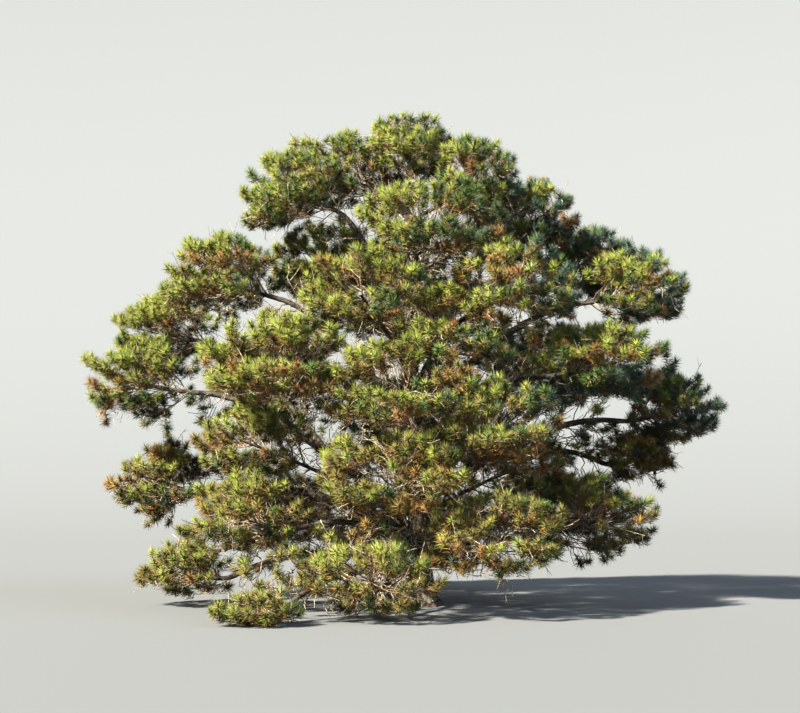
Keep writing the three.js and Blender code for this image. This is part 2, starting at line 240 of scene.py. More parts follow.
# The crown as a survey from the trunk: each mass has its bearing in degrees (0 is +X, 90 is +Y),
# the reach and height of its middle, its half sizes outward, across and upward, and, where it is
# on a bough, the limb that this leaves with the height or the share of that limb.
CROWN = [
    ("far_left", 184, 3.60, 2.97, 1.09, 0.84, 0.52, "trunk", 1.15),
    ("left_tip_upper", 170, 3.46, 3.70, 0.98, 0.84, 0.58, "far_left", 0.42),
    ("left_shoulder", 184, 2.54, 4.30, 1.12, 1.00, 0.76, "trunk", 2.35),
    ("upper_left", 190, 1.58, 5.42, 0.94, 0.92, 0.78, "trunk", 3.30),
    ("right_top", 18, 2.48, 4.68, 0.80, 0.84, 0.52),
    ("right_tip_upper", 354, 2.80, 4.18, 0.96, 0.90, 0.58, "trunk", 2.50),
    ("right_front", 341, 2.46, 3.16, 1.14, 1.04, 0.52, "trunk", 1.90),
    ("far_right", 7, 3.36, 2.62, 1.00, 0.86, 0.52, "trunk", 1.30),
    ("right_under", 14, 3.04, 2.00, 0.68, 0.74, 0.34, "far_right", 0.35),
    ("low_right", 346, 2.30, 1.18, 0.99, 0.96, 0.56, "trunk", 0.82),
    ("low_front_right", 293, 2.30, 0.98, 1.00, 1.00, 0.60, "trunk", 0.64),
    ("low_front", 257, 2.40, 0.50, 0.98, 1.06, 0.42, "trunk", 0.36),
    ("ground_front_left", 237, 3.36, 0.19, 0.68, 0.52, 0.17, "low_front", 0.45),
    ("ground_left", 181, 2.98, 0.50, 0.86, 0.74, 0.36, "trunk", 0.48),
    ("left_low", 172, 3.40, 1.66, 0.94, 0.84, 0.58, "trunk", 0.86),
    ("front_left_low", 209, 2.38, 1.23, 1.08, 1.00, 0.60, "trunk", 0.70),
    ("front_left", 226, 2.46, 3.06, 1.10, 1.06, 0.68, "trunk", 1.60),
    ("back_low_left", 132, 2.78, 1.18, 1.06, 1.00, 0.62, "trunk", 0.69),
    ("back_low_right", 48, 2.73, 1.23, 1.06, 1.00, 0.62, "trunk", 0.90),
    ("back_mid", 89, 2.58, 2.52, 1.16, 1.28, 0.80, "trunk", 1.35),
    ("back_left_mid", 144, 2.42, 3.14, 1.12, 1.04, 0.70, "trunk", 2.05),
    ("back_right_mid", 42, 2.38, 3.28, 1.12, 1.04, 0.70, "trunk", 2.15),
    ("front_mid", 263, 2.22, 1.70, 1.04, 1.10, 0.58),
    ("front_upper", 264, 2.00, 2.74, 1.04, 1.14, 0.70),
    ("front_right_mid", 294, 2.12, 2.34, 1.00, 0.86, 0.60),
    ("front_high_left", 247, 1.65, 3.92, 0.94, 0.92, 0.70),
    ("front_heart", 284, 1.40, 3.56, 0.96, 1.06, 0.64),
    ("front_high_right", 312, 1.75, 4.12, 0.94, 0.98, 0.64),
    ("front_top", 278, 1.15, 4.88, 0.88, 1.00, 0.68),
    ("left_inner", 200, 2.20, 2.16, 1.00, 0.96, 0.52),
    ("right_inner", 338, 1.32, 1.85, 0.86, 0.94, 0.56),
    ("back_low", 92, 2.45, 0.90, 1.10, 1.14, 0.66),
    ("top_left", 156, 0.98, 5.88, 0.86, 0.86, 0.68),
    ("left_heart", 148, 1.46, 4.72, 0.90, 0.94, 0.64),
    ("crown_top", 180, 0.10, 6.02, 0.70, 0.70, 0.66),
    ("top_right", 344, 0.82, 5.60, 0.76, 0.82, 0.70),
    ("right_shoulder", 8, 1.50, 5.18, 0.74, 0.80, 0.66),
    ("back_upper", 92, 1.52, 4.28, 1.10, 1.34, 0.96),
]
COLUMNS_OF_MASS = 7  # the rest of a row tells of its bough
BEARING = np.radians([row[1] for row in CROWN])
OUTWARD = np.stack([np.cos(BEARING), np.sin(BEARING), np.zeros(len(CROWN))], axis=1)
ACROSS = np.cross(UP, OUTWARD)
MIDDLE = OUTWARD * [[row[2]] for row in CROWN] + UP * [[row[3]] for row in CROWN]
HALF = np.array([row[4:7] for row in CROWN])


# Numbers and vectors
def seeded(a, b, c=0.0):
    """A number from 0 to 1 that depends only on its seeds: a thing's own, and the draw's."""
    return np.mod(np.sin(a * 12.9898 + b * 78.233 + c * 37.719) * 43758.5453, 1.0)


def dot(a, b):
    return np.sum(a * b, axis=-1)


def unit(vectors):
    length = np.linalg.norm(vectors, axis=-1, keepdims=True)
    return vectors / np.maximum(length, 1e-9)


def column(values):
    """Values with one more axis, to scale vectors by."""
    return np.asarray(values)[..., None]


def turned(vectors, axis, angle):
    """Vectors turned about unit axes, by Rodrigues' rule."""
    cos, sin = column(np.cos(angle)), column(np.sin(angle))
    return vectors * cos + np.cross(axis, vectors) * sin + axis * column(dot(axis, vectors)) * (1 - cos)


def sideways(ways):
    """Two unit vectors square to each way and to each other."""
    first = np.cross(ways, UP)
    steep = np.linalg.norm(first, axis=-1) < 0.1
    first[steep] = np.cross(ways[steep], [1.0, 0.0, 0.0])
    first = unit(first)
    return first, np.cross(ways, first)


def side_angles(sides):
    return 2 * np.pi * np.arange(sides) / sides


def spokes(first, second, sides):
    """The ways from a ring's middle to its sides, by two unit vectors in its plane."""
    angle = side_angles(sides)
    return first[..., None, :] * column(np.cos(angle)) + second[..., None, :] * column(np.sin(angle))


def smooth_step(low, high, values):
    share = np.clip((values - low) / (high - low), 0, 1)
    return share * share * (3 - 2 * share)


# Limbs: curves of changing radius
class Limb:
    """A Bezier curve, read by the share of its length. The radius is a function of that too."""

    STEPS = 240

    def __init__(self, controls, radius=None):
        points = [np.repeat(p[None], self.STEPS + 1, axis=0) for p in controls]
        share = column(np.linspace(0, 1, self.STEPS + 1))
        while len(points) > 1:
            points = [a + (b - a) * share for a, b in zip(points, points[1:])]
        self.points = points[0]
        steps = np.linalg.norm(np.diff(self.points, axis=0), axis=1)
        self.length = steps.sum()
        self.shares = np.concatenate([[0], np.cumsum(steps)]) / self.length
        self.radius = radius

    def at(self, share):
        return np.stack([np.interp(share, self.shares, c) for c in self.points.T], axis=-1)

    def along(self, share):
        step = 0.004
        return unit(self.at(np.minimum(share + step, 1)) - self.at(np.maximum(share - step, 0)))


def trunk_axis(height):
    share = np.asarray(height) / TRUNK_HEIGHT
    x = TRUNK_LEAN * share + TRUNK_BOW * np.sin(2 * np.pi * share) * share
    y = TRUNK_BOW * np.sin(np.pi * share) * share
    return np.stack([x, y, share * TRUNK_HEIGHT], axis=-1)


def trunk_radius(height):
    left = np.maximum(0, 1 - np.asarray(height) / TRUNK_HEIGHT)
    return TRUNK_TIP_RADIUS + (TRUNK_FOOT_RADIUS - TRUNK_TIP_RADIUS) * left**TRUNK_TAPER


def make_bough(i, boughs):
    """The bough that carries mass i, from its carrier's axis to where it enters the mass."""
    carrier, at = CROWN[i][COLUMNS_OF_MASS:]
    if carrier == "trunk":
        start, room = trunk_axis(at), trunk_radius(at)
    else:
        start, room = boughs[carrier].at(at), boughs[carrier].radius(at)
    end = MIDDLE[i] + OUTWARD[i] * BOUGH_END_OUT * HALF[i, 0] + UP * BOUGH_END_UP * HALF[i, 2]
    length = np.linalg.norm(end - start)
    side = ACROSS[i] * (seeded(i + 1, 1) - 0.5) * 2 * BOUGH_WANDER * length
    near = start + (end - start) / 3 + side + UP * BOUGH_ARCH * length * seeded(i + 1, 2)
    far = start + (end - start) * 2 / 3 - side + UP * BOUGH_ARCH * length
    limb = Limb([start, near, far, end])
    foot = min(max(BOUGH_THICKNESS * limb.length, BOUGH_LEAST_RADIUS), BOUGH_OF_CARRIER * room)
    limb.radius = lambda share: foot + (BOUGH_TIP_RADIUS - foot) * share**BOUGH_TAPER
    return limb


def make_stem(i, boughs):
    """The stem of mass i. It leaves its bough's tip squarely, or the trunk's tip or side."""
    name, reach, height = CROWN[i][0], CROWN[i][2], CROWN[i][3]
    on_top = reach < HALF[i, 0] / 2
    end = MIDDLE[i] + (UP if on_top else OUTWARD[i]) * STEM_REACH * HALF[i, 0]
    if name in boughs:
        start, leaves = boughs[name].at(1.0), boughs[name].along(1.0)
    elif on_top:
        start, leaves = trunk_axis(TRUNK_HEIGHT), UP
    else:
        start = trunk_axis(max(STEM_LOWEST, height - STEM_RISE * reach - STEM_DROP))
        leaves = unit(UP + OUTWARD[i])
    bend = start + leaves * STEM_BEND * np.linalg.norm(end - start)
    return Limb([start, bend, end], lambda share: STEM_RADIUS * (1 - (1 - STEM_TIP) * share))


# Spaces of the masses
def in_half_sizes(vectors, owner):
    """Vectors in half sizes of their masses: length 1 is the surface of the space."""
    parts = [dot(vectors, OUTWARD[owner]), dot(vectors, ACROSS[owner]), vectors[..., 2]]
    return np.stack(parts, axis=-1) / HALF[owner]


def levels(points):
    """How deep points lie in each space: 0 in its middle, 1 on its surface."""
    offset = points[:, None] - MIDDLE
    every = np.broadcast_to(np.arange(len(CROWN)), offset.shape[:2])
    return np.linalg.norm(in_half_sizes(offset, every), axis=2)


def in_space(points, owner):
    """True where a point lies in its own mass's space, and deeper than in any other."""
    level = levels(points)
    rows = np.arange(len(points))
    own = level[rows, owner]
    level[rows, owner] = np.inf
    return (own <= 1) & (level.min(axis=1) > own + SPACE_MARGIN)


def in_box(points):
    """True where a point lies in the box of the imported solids."""
    low, high = (np.array(corner) for corner in cad_box)
    return np.all((points > low) & (points < high), axis=-1)


def reach_in_space(points, ways, owner, room):
    """How far it is from a point to the surface of its mass's space times room; 0 outside it."""
    start = in_half_sizes(points - MIDDLE[owner], owner) / column(room)
    step = in_half_sizes(ways, owner) / column(room)
    a, b, c = dot(step, step), dot(start, step), dot(start, start) - 1
    return np.where(c > 0, 0, (-b + np.sqrt(np.maximum(b * b - a * c, 0))) / a)


class Twigs:
    """A batch of twigs. Each is a curve from its foot over its bend to its tip."""

    def __init__(self, foot, bend, tip, owner, seed, room):
        self.foot, self.bend, self.tip = foot, bend, tip
        self.owner, self.seed, self.room = owner, seed, room

    def __len__(self):
        return len(self.foot)

    def at(self, share):
        share = column(share)
        near = self.foot + (self.bend - self.foot) * share
        far = self.bend + (self.tip - self.bend) * share
        return near + (far - near) * share

    def along(self, share):
        share = column(share)
        return unit((self.bend - self.foot) * (1 - share) + (self.tip - self.bend) * share)

    def pick(self, which):
        return Twigs(*(values[which] for values in vars(self).values()))


def together(*batches):
    """Several batches of twigs as one."""
    return Twigs(*(np.concatenate(values) for values in zip(*(vars(b).values() for b in batches))))


def grow(feet, ways, owner, seed, room, longest, sag):
    """Twigs along ways that end inside their own spaces; one with no room is left out."""
    length = np.minimum(reach_in_space(feet, ways, owner, room) - TIP_ROOM, longest)
    for _ in range(FITTING_TRIES):
        outside = ~in_space(feet + ways * column(length), owner)
        length = np.where(outside, FITTING_STEP * length, length)
    tips = feet + ways * column(length)
    stray = (column(seeded(seed, 7)) - 0.5) * sideways(ways)[0]
    bends = (feet + tips) / 2 + column(length) * (stray * TWIG_STRAY - UP * sag)
    twigs = Twigs(feet, bends, tips, owner, seed, room)
    return twigs.pick((length > SHOOT_LEAST) & in_space(tips, owner))


def twigs_on_stems(stems):
    """The first order: round each stem by the golden angle."""
    feet, alongs, turns, owner, seed = [], [], [], [], []
    for i, stem in enumerate(stems):
        inside = min(1, (1 + STEM_REACH) * HALF[i, 0] / stem.length)
        k = np.arange(TWIGS_IN_MASS)
        share = 1 - inside * (TWIG_FIRST + TWIG_RANGE * k / TWIGS_IN_MASS)
        feet.append(stem.at(share))
        alongs.append(stem.along(share))
        turns.append(GOLDEN_ANGLE * k + 2 * np.pi * seeded(i + 1, 1))
        owner.append(np.full(TWIGS_IN_MASS, i))
        seed.append(100 * (i + 1) + k)
    feet, alongs, turns, owner, seed = map(np.concatenate, (feet, alongs, turns, owner, seed))
    ways = turned(sideways(alongs)[0], alongs, turns) * [1, 1, TWIG_FLATTEN]
    ways = unit(ways + alongs * TWIG_SPREAD + UP * TWIG_LIFT)
    longest = TWIG_LONGEST * (TWIG_SHORTEST + TWIG_LENGTH_RANGE * seeded(seed, 2))
    room = 1 - LOBE_DEPTH * seeded(seed, 9)
    return grow(feet, ways, owner, seed.astype(float), room, longest, TWIG_SAG)


def borne(parents, count):
    """For each twig of the next order, its parent and its number on it."""
    index = np.repeat(np.arange(len(parents)), count)
    return parents.pick(index), np.tile(np.arange(count), len(parents))


def feet_along(first, k, count, seed):
    """The shares of their parent at which its twigs leave it."""
    return first + (1 - first) * (k + PLACE_RANGE * seeded(seed, 1)) / count


def carried_on(parents, count, first, longest, sag, order):
    """The next order: each parent bears a number of twigs, to its left and right by turns."""
    parent, k = borne(parents, count)
    seed = parent.seed + SEED_STEP * (k + 1) * order
    share = feet_along(first, k, count, seed)
    along = parent.along(share)
    turn = BRANCH_TURN + BRANCH_TURN_RANGE * seeded(seed, 4)
    ways = turned(along, np.broadcast_to(UP, along.shape), np.where(k % 2, turn, -turn))
    lift = BRANCH_LIFT + BRANCH_LIFT_RANGE * (seeded(seed, 5) - 0.5)
    ways = unit(ways * [1, 1, BRANCH_FLATTEN] + UP * column(lift))
    reach = longest * (SHORTEST + LENGTH_RANGE * seeded(seed, 6))
    return grow(parent.at(share), ways, parent.owner, seed, parent.room, reach, sag)


def live_twigs(stems):
    """Twigs, branches and shoots: three orders, each carried on from the one before."""
    twigs = twigs_on_stems(stems)
    behind = MIDDLE[twigs.owner, 1] > BACK_OF_CROWN
    front, back = twigs.pick(~behind), twigs.pick(behind)
    branches = together(
        carried_on(front, BRANCHES_ON_TWIG, BRANCH_FIRST, BRANCH_LONGEST, BRANCH_SAG, order=1.0),
        carried_on(back, BRANCHES_BEHIND, BRANCH_FIRST_BEHIND, BRANCH_LONGEST, BRANCH_SAG, order=1.0),
    )
    shoots = carried_on(branches, SHOOTS_ON_BRANCH, SHOOT_FIRST, SHOOT_LONGEST, SHOOT_SAG, order=7.0)
    return twigs, branches, shoots


def crooked(feet, ways, length, crook, seed):
    """The bends and the tips of crooked twigs."""
    length = column(length)
    aside = seeded(column(seed), np.array([4.0, 5.0, 6.0])) - 0.5
    return feet + length * (0.5 * ways + crook * aside), feet + ways * length


def twigs_on_limbs(limbs):
    """Crooked twigs round the bare stretches of the limbs. A few of them still hold a tuft."""
    feet, ways, seeds = [], [], []
    for i, limb in enumerate(limbs):
        count = int(LIMB_TWIGS_PER_METRE * limb.length)
        k = np.arange(count)
        share = LIMB_TWIG_FIRST + LIMB_TWIG_RANGE * (k + seeded(i, k, 1)) / count
        along = limb.along(share)
        side = turned(sideways(along)[0], along, GOLDEN_ANGLE * k + i)
        feet.append(limb.at(share))
        ways.append(unit(side + along * LIMB_TWIG_LEAN))
        seeds.append(1000.0 * (i + 1) + k)
    feet, ways, seeds = map(np.concatenate, (feet, ways, seeds))
    length = LIMB_TWIG_SHORTEST + LIMB_TWIG_LENGTH_RANGE * seeded(seeds, 2)
    bends, tips = crooked(feet, ways, length, LIMB_TWIG_CROOK, seeds)
    return Twigs(feet, bends, tips, levels(tips).argmin(axis=1), seeds, np.ones(len(feet)))


def bare_order(parents, count, first, longest, spread, seed_step):
    """Bare twigs on other twigs: crooked, and not kept to any space."""
    parent, k = borne(parents, count)
    seed = parent.seed + seed_step * (k + 1)
    share = feet_along(first, k, count, seed)
    along = parent.along(share)
    side = turned(sideways(along)[0], along, 2 * np.pi * seeded(seed, 2))
    ways = unit(along + side * spread)
    feet = parent.at(share)
    length = longest * (BARE_SHORTEST + BARE_LENGTH_RANGE * seeded(seed, 3))
    bends, tips = crooked(feet, ways, length, BARE_CROOK, seed)
    return Twigs(feet, bends, tips, parent.owner, seed, parent.room)


# Places of the tufts
def below_layer(points, owner):
    """How far points lie below the top of their layer of tufts, from 0 to 1."""
    spot = in_half_sizes(points - MIDDLE[owner], owner)
    dome = np.sqrt(np.maximum(0, 1 - spot[:, 0] ** 2 - spot[:, 1] ** 2))
    top = (1 - LAYER_DOME + LAYER_DOME * dome) * HALF[owner, 2]
    wave = LAYER_WAVE * np.sin(5 * points[:, 0] + owner) * np.sin(4 * points[:, 1] + 2 * owner)
    down = np.mod((top + MIDDLE[owner, 2] - points[:, 2] + wave) / LAYER, 1)
    under_surface = (dome - spot[:, 2]) * HALF[owner, 2] / LAYER
    return np.clip(np.minimum(down, under_surface), 0, 1)


def crown_share(points):
    """How far out points are in the crown: 0 in its heart, 1 at its outline."""
    return np.linalg.norm((points - CROWN_HEART) / CROWN_HALF, axis=-1)


def from_trunk(points):
    """How far points are from the foot of the trunk, as seen from above."""
    return np.hypot(points[:, 0], points[:, 1])


def leafy(twigs):
    """Twigs near the outside of their masses; the inner and lower ones have shed their needles."""
    spot = in_half_sizes(twigs.tip - MIDDLE[twigs.owner], twigs.owner)
    depth = np.linalg.norm(spot, axis=1) + TUFTS_FROM_RANGE * (seeded(twigs.seed, 41) - 0.5)
    under = (spot[:, 2] < UNDERSIDE) & (seeded(twigs.seed, 42) < SHED_UNDER)
    low = (MIDDLE[twigs.owner, 2] < LOW_BOUGHS) & (seeded(twigs.seed, 43) < SHED_LOW)
    behind = twigs.tip[:, 1] > BACK_OF_CROWN
    shed = np.where(behind, SHED_BEHIND, SHED_IN_FRONT)
    bare = (below_layer(twigs.tip, twigs.owner) > LAYER_BARE) & (seeded(twigs.seed, 45) < shed)
    inner = (crown_share(twigs.tip) < INNER_CROWN) & (seeded(twigs.seed, 46) > INNER_TUFTS) & ~behind
    return twigs.pick((depth > TUFTS_FROM) & ~under & ~low & ~bare & ~inner)


def tufts_on_limbs(on_limbs):
    """Some of the twigs on the limbs, and more of those on the outer ones."""
    outer = (on_limbs.tip[:, 1] > REAR_LIMBS) | (on_limbs.tip[:, 2] < LOW_LIMBS)
    outer |= from_trunk(on_limbs.tip) > FAR_LIMBS
    holding = np.where(outer, TUFTS_ON_OUTER_LIMBS, TUFTS_ON_LIMBS)
    above = on_limbs.tip[:, 2] > LOWEST_TUFT
    return on_limbs.pick(above & (seeded(on_limbs.seed, 48) < holding))


def tufts_in_gaps(side_twigs):
    """Some of the side twigs that are far out and in no mass's space."""
    between = (levels(side_twigs.tip).min(axis=1) > 1) & (from_trunk(side_twigs.tip) > GAPS_FROM)
    above = side_twigs.tip[:, 2] > LOWEST_TUFT
    return side_twigs.pick(between & above & (seeded(side_twigs.seed, 50) < TUFTS_IN_GAPS))


def spaced(twigs):
    """Twigs whose tips keep apart. The higher of two goes first, so that they lie in layers."""
    size = np.array([TUFT_APART, TUFT_APART, TUFT_BELOW])
    places = twigs.tip / size
    taken, kept = {}, []
    for n in np.argsort(-places[:, 2]):
        x, y, z = (int(c) for c in np.floor(places[n]))
        near = [
            m
            for i in (-1, 0, 1)
            for j in (-1, 0, 1)
            for k in (-1, 0, 1)
            for m in taken.get((x + i, y + j, z + k), [])
        ]
        if len(near) and (np.linalg.norm(places[near] - places[n], axis=1) < 1).any():
            continue
        taken.setdefault((x, y, z), []).append(n)
        kept.append(n)
    return twigs.pick(np.sort(kept))


# Meshes
def make_piece(name, points, faces, material, smooth=True):
    """One mesh object from points and faces that all have as many corners."""
    mesh = bpy.data.meshes.new(name)
    corners = faces.shape[1]
    mesh.vertices.add(len(points))
    mesh.vertices.foreach_set("co", points.astype(np.float32).ravel())
    mesh.loops.add(faces.size)
    mesh.loops.foreach_set("vertex_index", faces.astype(np.int32).ravel())
    mesh.polygons.add(len(faces))
    mesh.polygons.foreach_set("loop_start", np.arange(0, faces.size, corners, dtype=np.int32))
    mesh.update(calc_edges=True)
    mesh.polygons.foreach_set("use_smooth", np.full(len(faces), smooth))
    mesh.materials.append(material)
    piece = bpy.data.objects.new(name, mesh)
    bpy.context.scene.collection.objects.link(piece)
    return piece


def joined(parts):
    """Several (points, faces) pairs as one."""
    starts = np.cumsum([0] + [len(points) for points, _ in parts])
    points = np.concatenate([points for points, _ in parts])
    faces = np.concatenate([faces + start for (_, faces), start in zip(parts, starts)])
    return points, faces


def tube_faces(tubes, rings, sides):
    """Quads of tubes whose points run tube by tube, ring by ring."""
    ring, side = np.meshgrid(np.arange(rings - 1), np.arange(sides), indexing="ij")
    after = (side + 1) % sides
    quad = np.stack([ring * sides + side, ring * sides + after,
                     (ring + 1) * sides + after, (ring + 1) * sides + side], axis=-1)
    starts = np.arange(tubes) * rings * sides
    return (quad.reshape(1, -1, 4) + starts[:, None, None]).reshape(-1, 4)


def twig_tubes(twigs, thick, thin, rings, crook=0.0):
    """Three-sided tubes along a batch of twigs. A crook moves the rings between foot and tip."""
    sides = 3
    shares = np.linspace(0, 1, rings)
    centre = np.stack([twigs.at(share) for share in shares], axis=1)
    along = np.stack([twigs.along(share) for share in shares], axis=1)
    length = np.linalg.norm(twigs.tip - twigs.foot, axis=1)[:, None, None]
    r = np.arange(1, rings - 1)
    seed = column(twigs.seed)
    stray = np.stack([seeded(seed, r + 50.0, axis) - 0.5 for axis in range(3)], axis=-1)
    centre[:, 1:-1] += crook * length * stray
    first = sideways(twigs.along(0.5))[0][:, None]
    first = unit(first - along * column(dot(along, first)))
    radius = np.linspace(thick, thin, rings).reshape(1, rings, 1, 1)
    points = centre[:, :, None] + spokes(first, np.cross(along, first), sides) * radius
    return points.reshape(-1, 3), tube_faces(len(twigs), rings, sides)


# Bark: plates between furrows, as relief in the mesh
PLATE_SCATTER = 0.95
FURROW_FLOOR = 0.03
FURROW_EDGE = 0.3
BARK_SWELL = 0.35


def furrows(around, up, cells, seed):
    """How deep in a furrow a place is, from 0 on a plate to 1.

    The plates are scattered cells of a grid that wavers round the tube and up it.
    """
    around = around + 0.3 * np.sin(1.7 * up + seed)
    up = up + 0.35 * np.sin(2 * np.pi * around / cells * 3 + 0.6 * up)
    column_at, row_at = np.floor(around), np.floor(up)
    nearest = np.full(around.shape, np.inf)
    second = np.full(around.shape, np.inf)
    for i in (-1, 0, 1):
        for j in (-1, 0, 1):
            cell, row = column_at + i, row_at + j
            place = np.mod(cell, cells)
            x = cell + 0.5 + PLATE_SCATTER * (seeded(place, row, seed) - 0.5)
            y = row + 0.5 + PLATE_SCATTER * (seeded(place, row, seed + 5) - 0.5)
            far = np.hypot(around - x, up - y)
            second = np.minimum(second, np.maximum(nearest, far))
            nearest = np.minimum(nearest, far)
    return 1 - smooth_step(FURROW_FLOOR, FURROW_EDGE, second - nearest)


def barked_tube(centre, along, radius, sides, cells, plate, depth, seed):
    """A tube with plated bark. Returns its points, faces and the furrow depth at each point."""
    step = np.linalg.norm(np.diff(centre, axis=0), axis=1)
    run = np.concatenate([[0], np.cumsum(step)])
    ring_run, ring_angle = np.meshgrid(run, side_angles(sides), indexing="ij")
    furrow = furrows(ring_angle / (2 * np.pi) * cells, ring_run / plate, cells, seed)
    swell = BARK_SWELL * np.sin(ring_run * 9 + seed) * np.sin(2 * ring_angle + ring_run * 5)
    thick = radius + depth * (0.5 - furrow + swell)
    points = centre[:, None] + spokes(*sideways(along), sides) * column(thick)
    return points.reshape(-1, 3), tube_faces(1, len(centre), sides), furrow.ravel()


def store_furrows(piece, values):
    attribute = piece.data.attributes.new("furrow", "FLOAT", "POINT")
    attribute.data.foreach_set("value", values.astype(np.float32))


def store_outward(piece, ways):
    attribute = piece.data.attributes.new("outward", "FLOAT_VECTOR", "POINT")
    attribute.data.foreach_set("vector", ways.astype(np.float32).ravel())


# Shader maths
class Socket:
    """A node's output, so that shader maths reads as plain expressions."""

    def __init__(self, shader, output):
        self.shader, self.output = shader, output

    def maths(self, operation, *values):
        return self.shader.node("ShaderNodeMath", values, operation=operation)

    def __add__(self, other):
        return self.maths("ADD", self, other)

    def __radd__(self, other):
        return self.maths("ADD", other, self)

    def __mul__(self, other):
        return self.maths("MULTIPLY", self, other)

    def __rmul__(self, other):
        return self.maths("MULTIPLY", other, self)


class Shader:
    """A new material and its nodes."""

    def __init__(self, name):
        self.material = bpy.data.materials.new(name)
        self.material.use_nodes = True
        self.tree = self.material.node_tree
        self.principled = self.tree.nodes["Principled BSDF"]

    def node(self, kind, values=(), output=0, **settings):
        """Adds a node. Settings come first, then values or links, by place or by name."""
        made = self.tree.nodes.new(kind)
        for name, setting in settings.items():
            setattr(made, name, setting)
        pairs = values.items() if isinstance(values, dict) else enumerate(values)
        for key, value in pairs:
            self.feed(made.inputs[key], value)
        return Socket(self, made.outputs[output])

    def feed(self, socket, value):
        if isinstance(value, Socket):
            self.tree.links.new(value.output, socket)
        else:
            socket.default_value = value

    def place(self, *scale):
        """Object coordinates, stretched."""
        spot = self.node("ShaderNodeTexCoord", output="Object")
        return self.node("ShaderNodeMapping", {"Vector": spot, "Scale": scale})

    def noise(self, scale, detail=3.0, stretch=(1, 1, 1)):
        values = {"Vector": self.place(*stretch), "Scale": scale, "Detail": detail}
        return self.node("ShaderNodeTexNoise", values)

    def between(self, value, low, high):
        """0 where value is under low, 1 where it is over high."""
        values = {"Value": value, "From Min": low, "From Max": high}
        return self.node("ShaderNodeMapRange", values, interpolation_type="SMOOTHSTEP")

    def mix(self, factor, first, second):
        """Two colours by a factor."""
        values = {0: factor, 6: first, 7: second}
        return self.node("ShaderNodeMix", values, output=2, data_type="RGBA")

    def finish(self, **inputs):
        """Feeds the shader's own sockets, named with _ for a space."""
        for name, value in inputs.items():
            self.feed(self.principled.inputs[name.replace("_", " ")], value)
        return self.material


def rgb(red, green, blue):
    return (red, green, blue, 1.0)


def plated_bark(name, plate, furrow, lichen, fleck):
    """Grey plates over red-brown furrows, with pale patches of lichen."""
    shader = Shader(name)
    deep = shader.node("ShaderNodeAttribute", output="Fac", attribute_name="furrow")
    grain = shader.noise(38.0, 5.0, (1, 1, 0.35))
    blotch = shader.noise(4.0, 3.0)
    plates = shader.mix(grain, tuple(0.55 * c for c in plate[:3]) + (1.0,), plate)
    patches = shader.between(blotch + grain * 0.3, 0.66, 0.8)
    plates = shader.mix(patches * fleck, plates, lichen)
    colour = shader.mix(shader.between(deep, 0.15, 0.9), plates, furrow)
    bump = shader.node("ShaderNodeBump", {"Strength": 0.6, "Distance": 0.004, "Height": grain})
    return shader.finish(Base_Color=colour, Roughness=0.9, Specular_IOR_Level=0.2, Normal=bump)


def twig_bark(name, dark, light):
    """Fine scaly bark of the twigs."""
    shader = Shader(name)
    scales = shader.noise(60.0, 3.0)
    colour = shader.mix(shader.between(scales, 0.35, 0.68), dark, light)
    bump = shader.node("ShaderNodeBump", {"Strength": 0.4, "Distance": 0.002, "Height": scales})
    return shader.finish(Base_Color=colour, Roughness=0.85, Specular_IOR_Level=0.2, Normal=bump)


def needle_skin(name, dark, light):
    """Waxy needles: a tint that drifts a little from spray to spray."""
    shader = Shader(name)
    drift = shader.noise(3.5, 2.0)
    fine = shader.noise(45.0, 2.0)
    colour = shader.mix(shader.between(drift * 0.6 + fine * 0.4, 0.36, 0.62), dark, light)
    rough = shader.between(fine, 0.2, 0.9) * 0.14 + 0.5
    outward = shader.node("ShaderNodeAttribute", output="Vector", attribute_name="outward")
    flat = shader.node("ShaderNodeNewGeometry", output="True Normal")
    both = shader.node("ShaderNodeVectorMath", [outward, flat], operation="ADD")
    rounded = shader.node("ShaderNodeVectorMath", [both], operation="NORMALIZE")
    return shader.finish(Base_Color=colour, Roughness=rough, Specular_IOR_Level=0.25, Normal=rounded)


# Trunk, boughs, stems and twigs
RINGS_CLOSER_DOWN = 1.15
TRUNK_FURROW = 0.016
OLD_BARK_RADIUS = 0.12  # thinner stretches have shallower furrows


def make_trunk():
    rings, sides = 200, 72
    height = TRUNK_HEIGHT * np.linspace(0, 1, rings) ** RINGS_CLOSER_DOWN
    flare = column(np.exp(-height / FLARE_HEIGHT))
    lobe = 1 + FLARE_LOBE_DEPTH * flare * np.cos(FLARE_LOBES * side_angles(sides))
    radius = (column(trunk_radius(height)) + FLARE_RADIUS * flare) * lobe
    along = np.broadcast_to(UP, (rings, 3))
    depth = TRUNK_FURROW * np.minimum(1, column(trunk_radius(height)) / OLD_BARK_RADIUS)
    points, faces, furrow = barked_tube(
        trunk_axis(height), along, radius, sides, cells=13, plate=0.115, depth=depth, seed=3
    )
    points[:, 2] = np.clip(points[:, 2], 0, None)
    bark = plated_bark(
        "bark of the trunk",
        plate=rgb(0.1, 0.08, 0.068),
        furrow=rgb(0.021, 0.0115, 0.0076),
        lichen=rgb(0.14, 0.144, 0.12),
        fleck=0.5,
    )
    piece = make_piece("bark_trunk", points, faces, bark)
    store_furrows(piece, furrow)
    return piece


def barked_limb(limb, spacing, seed, **bark):
    share = np.linspace(0, 1, max(6, int(limb.length / spacing)))
    radius = column(limb.radius(share))
    return barked_tube(limb.at(share), limb.along(share), radius, seed=seed, **bark)


